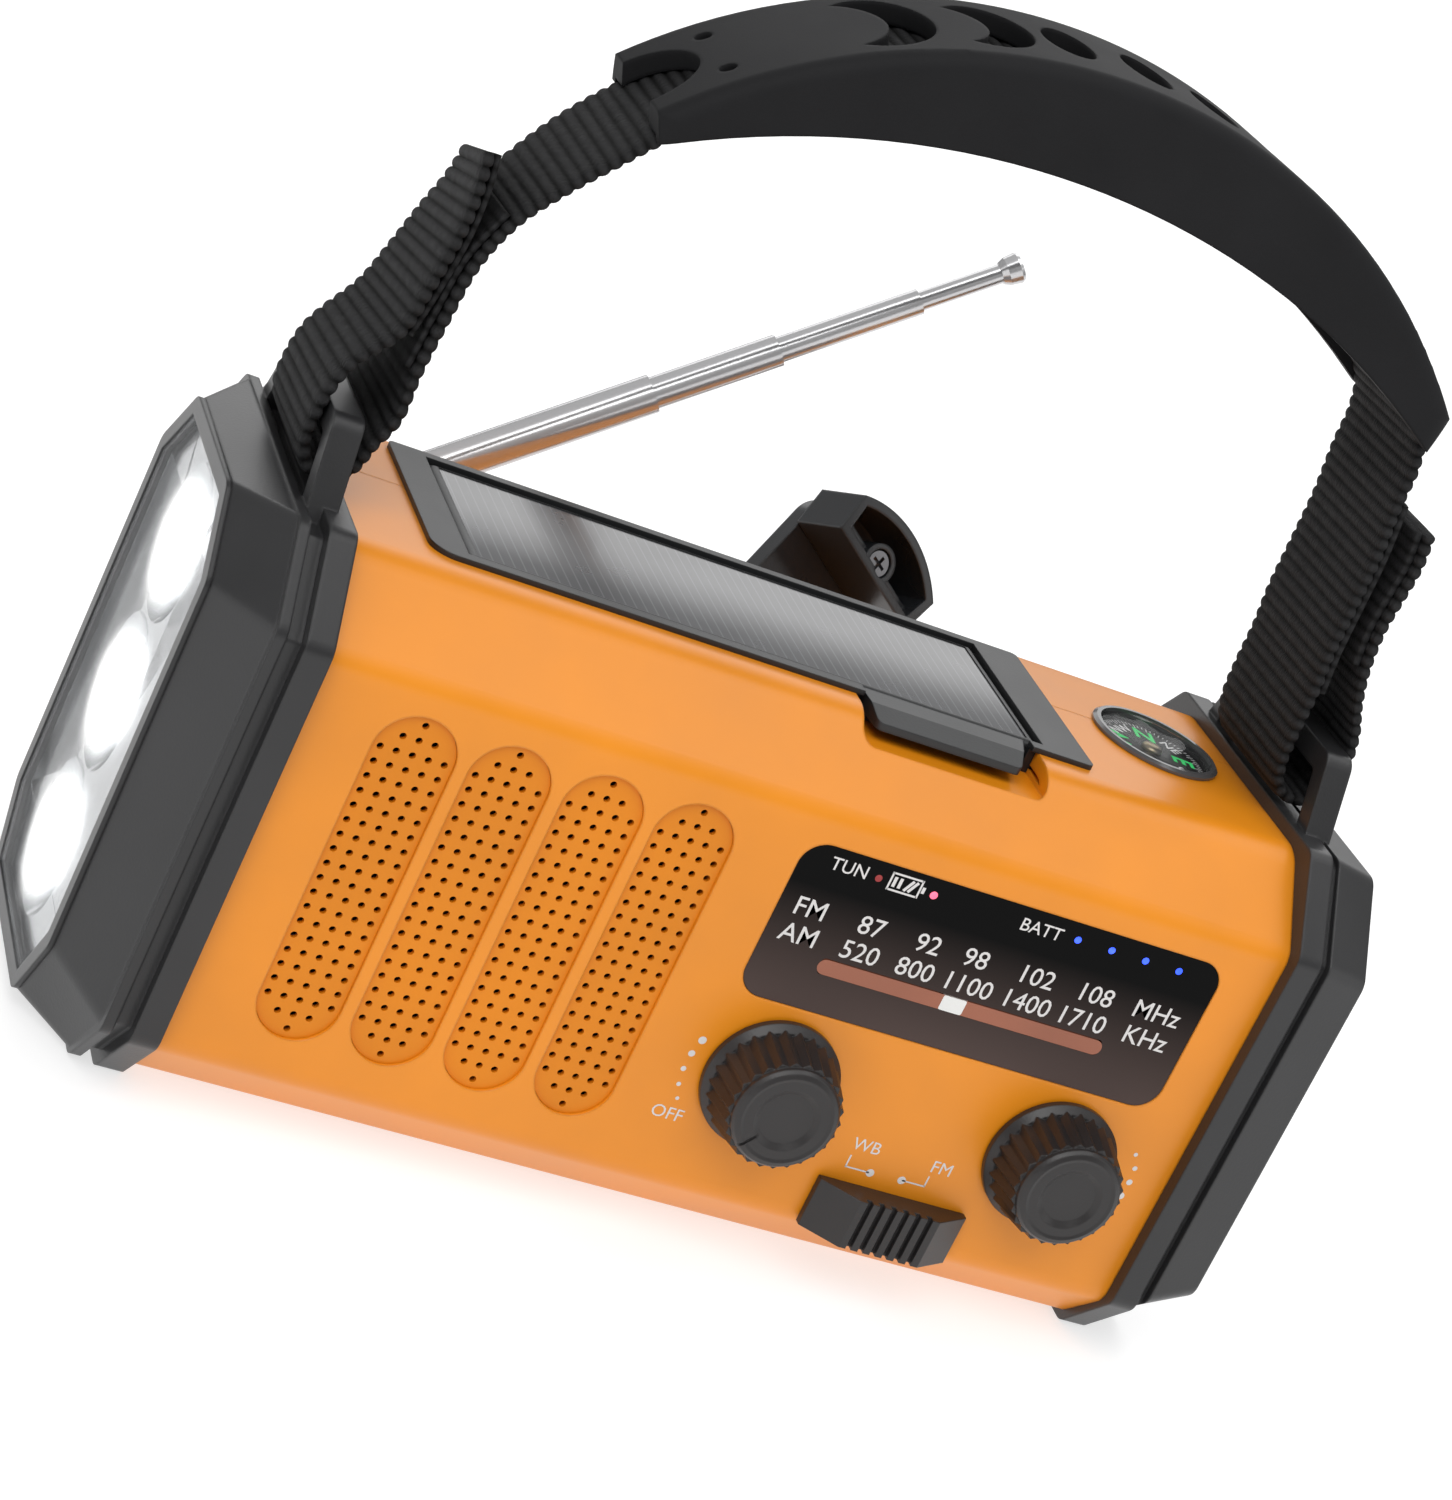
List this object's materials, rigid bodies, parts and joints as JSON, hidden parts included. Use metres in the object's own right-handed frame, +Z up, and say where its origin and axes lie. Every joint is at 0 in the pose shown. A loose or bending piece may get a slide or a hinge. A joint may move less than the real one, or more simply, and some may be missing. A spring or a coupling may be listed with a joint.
{
  "type": "emergency radio",
  "caption": "Crank-powered emergency radio with lamp head, solar lid, compass, dial and knobs, speaker grille, telescopic antenna and webbing strap.",
  "frame": {"origin": "middle of the bounding box's base, on the standing plane", "axes": "+X towards the end cap with the ports, +Y towards the back with the crank, +Z up"},
  "size_m": [0.1822, 0.1116, 0.1763],
  "materials": {
    "front_shell": "satin moulded",
    "speaker_grille_panels": "satin moulded",
    "back_shell": "satin moulded",
    "housing_screws": "plated",
    "lamp_housing": "satin moulded",
    "lamp_rim": "satin moulded",
    "lamp_lens": "clear",
    "lamp_reflector": "vacuum coated",
    "lamp_led_board": "circuit board",
    "right_cap": "satin moulded",
    "usb_a_socket": "plated",
    "usb_c_socket": "plated",
    "end_board": "circuit board",
    "port_cover": "matt",
    "lamp_button": "fine texture",
    "alarm_button": "satin",
    "dial_window": "gloss",
    "dial_light_bar": "backlit",
    "display_board": "circuit board",
    "status_leds": "clear",
    "tuning_pointer": "satin",
    "dial_cord": "braided",
    "volume_knob": "satin moulded",
    "volume_shaft": "plated",
    "volume_pot": "plated",
    "tuning_knob": "satin moulded",
    "tuning_shaft": "plated",
    "tuning_capacitor": "plated",
    "band_switch_slider": "satin moulded",
    "band_switch_body": "fine texture",
    "main_board": "circuit board",
    "speaker": "plated",
    "battery_cells": "wrapped",
    "battery_tray": "fine texture",
    "ferrite_rod": "ferrite",
    "gearbox_frame": "fine texture",
    "generator": "plated",
    "generator_pinion": "satin",
    "crank_gear": "satin",
    "crank_hub": "satin moulded",
    "crank_hinge_pin": "plated",
    "crank_arm": "satin moulded",
    "crank_grip": "satin moulded",
    "crank_grip_screw": "plated",
    "antenna_base": "satin moulded",
    "antenna_tube_1": "polished",
    "antenna_tube_2": "polished",
    "antenna_tube_3": "polished",
    "antenna_tip_rod": "polished",
    "solar_tray": "fine texture",
    "lid_frame": "fine texture",
    "solar_cell": "dark cell",
    "reading_lamp": "clear",
    "compass_case": "satin moulded",
    "compass_card": "satin",
    "compass_dome": "clear",
    "strap_grip": "matt",
    "strap_webbing": "ribbed webbing",
    "strap_loop_left": "ribbed webbing",
    "strap_loop_right": "ribbed webbing"
  },
  "bodies": {
    "housing": {"front_shell": "front_shell", "speaker_grille_panels": "speaker_grille_panels", "back_shell": "back_shell", "housing_screws": "housing_screws", "lamp_housing": "lamp_housing", "lamp_rim": "lamp_rim", "lamp_lens": "lamp_lens", "lamp_reflector": "lamp_reflector", "lamp_led_board": "lamp_led_board", "right_cap": "right_cap", "usb_a_socket": "usb_a_socket", "usb_c_socket": "usb_c_socket", "end_board": "end_board", "dial_window": "dial_window", "dial_light_bar": "dial_light_bar", "display_board": "display_board", "status_leds": "status_leds", "dial_cord": "dial_cord", "volume_pot": "volume_pot", "tuning_capacitor": "tuning_capacitor", "band_switch_body": "band_switch_body", "main_board": "main_board", "speaker": "speaker", "battery_cells": "battery_cells", "battery_tray": "battery_tray", "ferrite_rod": "ferrite_rod", "gearbox_frame": "gearbox_frame", "generator": "generator", "solar_tray": "solar_tray", "compass_case": "compass_case", "compass_dome": "compass_dome", "strap_loop_left": "strap_loop_left", "strap_loop_right": "strap_loop_right"},
    "port_cover": {"port_cover": "port_cover"},
    "lamp_button": {"lamp_button": "lamp_button"},
    "alarm_button": {"alarm_button": "alarm_button"},
    "tuning_pointer": {"tuning_pointer": "tuning_pointer"},
    "volume_control": {"volume_knob": "volume_knob", "volume_shaft": "volume_shaft"},
    "tuning_control": {"tuning_knob": "tuning_knob", "tuning_shaft": "tuning_shaft"},
    "band_switch": {"band_switch_slider": "band_switch_slider"},
    "pinion": {"generator_pinion": "generator_pinion"},
    "hub": {"crank_hub": "crank_hub", "crank_gear": "crank_gear", "crank_hinge_pin": "crank_hinge_pin"},
    "arm": {"crank_arm": "crank_arm", "crank_grip_screw": "crank_grip_screw"},
    "grip": {"crank_grip": "crank_grip"},
    "antenna_swivel": {"antenna_base": "antenna_base"},
    "antenna_1": {"antenna_tube_1": "antenna_tube_1"},
    "antenna_2": {"antenna_tube_2": "antenna_tube_2"},
    "antenna_3": {"antenna_tube_3": "antenna_tube_3"},
    "antenna_4": {"antenna_tip_rod": "antenna_tip_rod"},
    "lid": {"lid_frame": "lid_frame", "solar_cell": "solar_cell", "reading_lamp": "reading_lamp"},
    "compass": {"compass_card": "compass_card"},
    "handle": {"strap_grip": "strap_grip", "strap_webbing": "strap_webbing"}
  },
  "joints": [
    {"name": "volume_turn", "type": "hinge", "parent": "housing", "child": "volume_control", "pos_m": [0.0101, -0.04904, 0.0292], "axis": [0, 1, 0], "range_deg": [0, 270]},
    {"name": "tuning_turn", "type": "hinge", "parent": "housing", "child": "tuning_control", "pos_m": [0.0569, -0.04904, 0.0292], "axis": [0, 1, 0], "range_deg": [-130, 150]},
    {"name": "pointer_slide", "type": "slide", "parent": "housing", "child": "tuning_pointer", "axis": [1, 0, 0], "range_m": [-0.0194, 0.0224]},
    {"name": "band_select", "type": "slide", "parent": "housing", "child": "band_switch", "axis": [1, 0, 0], "range_m": [-0.004, 0.004]},
    {"name": "lid_hinge", "type": "hinge", "parent": "housing", "child": "lid", "pos_m": [0.0009, 0.00756, 0.0817], "axis": [-1, 0, 0], "range_deg": [0, 75]},
    {"name": "compass_turn", "type": "hinge", "parent": "housing", "child": "compass", "pos_m": [0.0621, -0.00674, 0.08], "axis": [0, 0, 1], "continuous": true},
    {"name": "crank_turn", "type": "hinge", "parent": "housing", "child": "hub", "pos_m": [0.00025, 0.02826, 0.038], "axis": [0, 1, 0], "continuous": true},
    {"name": "pinion_turn", "type": "hinge", "parent": "housing", "child": "pinion", "pos_m": [0.02623, 0.01696, 0.023], "axis": [0, 1, 0], "continuous": true},
    {"name": "crank_fold", "type": "hinge", "parent": "hub", "child": "arm", "pos_m": [0.00025, 0.02826, 0.038], "axis": [-0.8192, 0, 0.5736], "range_deg": [-10, 141]},
    {"name": "grip_turn", "type": "hinge", "parent": "arm", "child": "grip", "pos_m": [0.02644, 0.05316, 0.0754], "axis": [-0.2746, 0.878, -0.3921], "continuous": true},
    {"name": "antenna_swing", "type": "hinge", "parent": "housing", "child": "antenna_swivel", "pos_m": [-0.0546, 0.03296, 0.0679], "axis": [0, 1, 0], "range_deg": [-140, 40]},
    {"name": "antenna_tilt", "type": "hinge", "parent": "antenna_swivel", "child": "antenna_1", "pos_m": [-0.0546, 0.03296, 0.0679], "axis": [-0.6455, 0, 0.7638], "range_deg": [0, 90]},
    {"name": "antenna_slide_2", "type": "slide", "parent": "antenna_1", "child": "antenna_2", "axis": [0.7638, 0, 0.6455], "range_m": [-0.02, 0.0142]},
    {"name": "antenna_slide_3", "type": "slide", "parent": "antenna_2", "child": "antenna_3", "axis": [0.7638, 0, 0.6455], "range_m": [-0.0227, 0.0104]},
    {"name": "antenna_slide_4", "type": "slide", "parent": "antenna_3", "child": "antenna_4", "axis": [0.7638, 0, 0.6455], "range_m": [-0.013, 0.017]},
    {"name": "handle_swing", "type": "hinge", "parent": "housing", "child": "handle", "pos_m": [0.0009, -0.00904, 0.109], "axis": [1, 0, 0], "range_deg": [-75, 75]},
    {"name": "lamp_press", "type": "slide", "parent": "housing", "child": "lamp_button", "axis": [-1, 0, 0], "range_m": [0, 0.0012], "stiffness_N_per_m": 800, "springref_m": -0.0005},
    {"name": "alarm_press", "type": "slide", "parent": "housing", "child": "alarm_button", "axis": [-1, 0, 0], "range_m": [0, 0.0012], "stiffness_N_per_m": 800, "springref_m": -0.0005},
    {"name": "port_hinge", "type": "hinge", "parent": "housing", "child": "port_cover", "pos_m": [0.0897, -0.00904, 0.02265], "axis": [0, 1, 0], "range_deg": [0, 110]}
  ],
  "couplings": [
    {"joint": "pointer_slide", "follows": "tuning_turn", "m_per_rad": 0.0085},
    {"joint": "pinion_turn", "follows": "crank_turn", "ratio": -4}
  ]
}
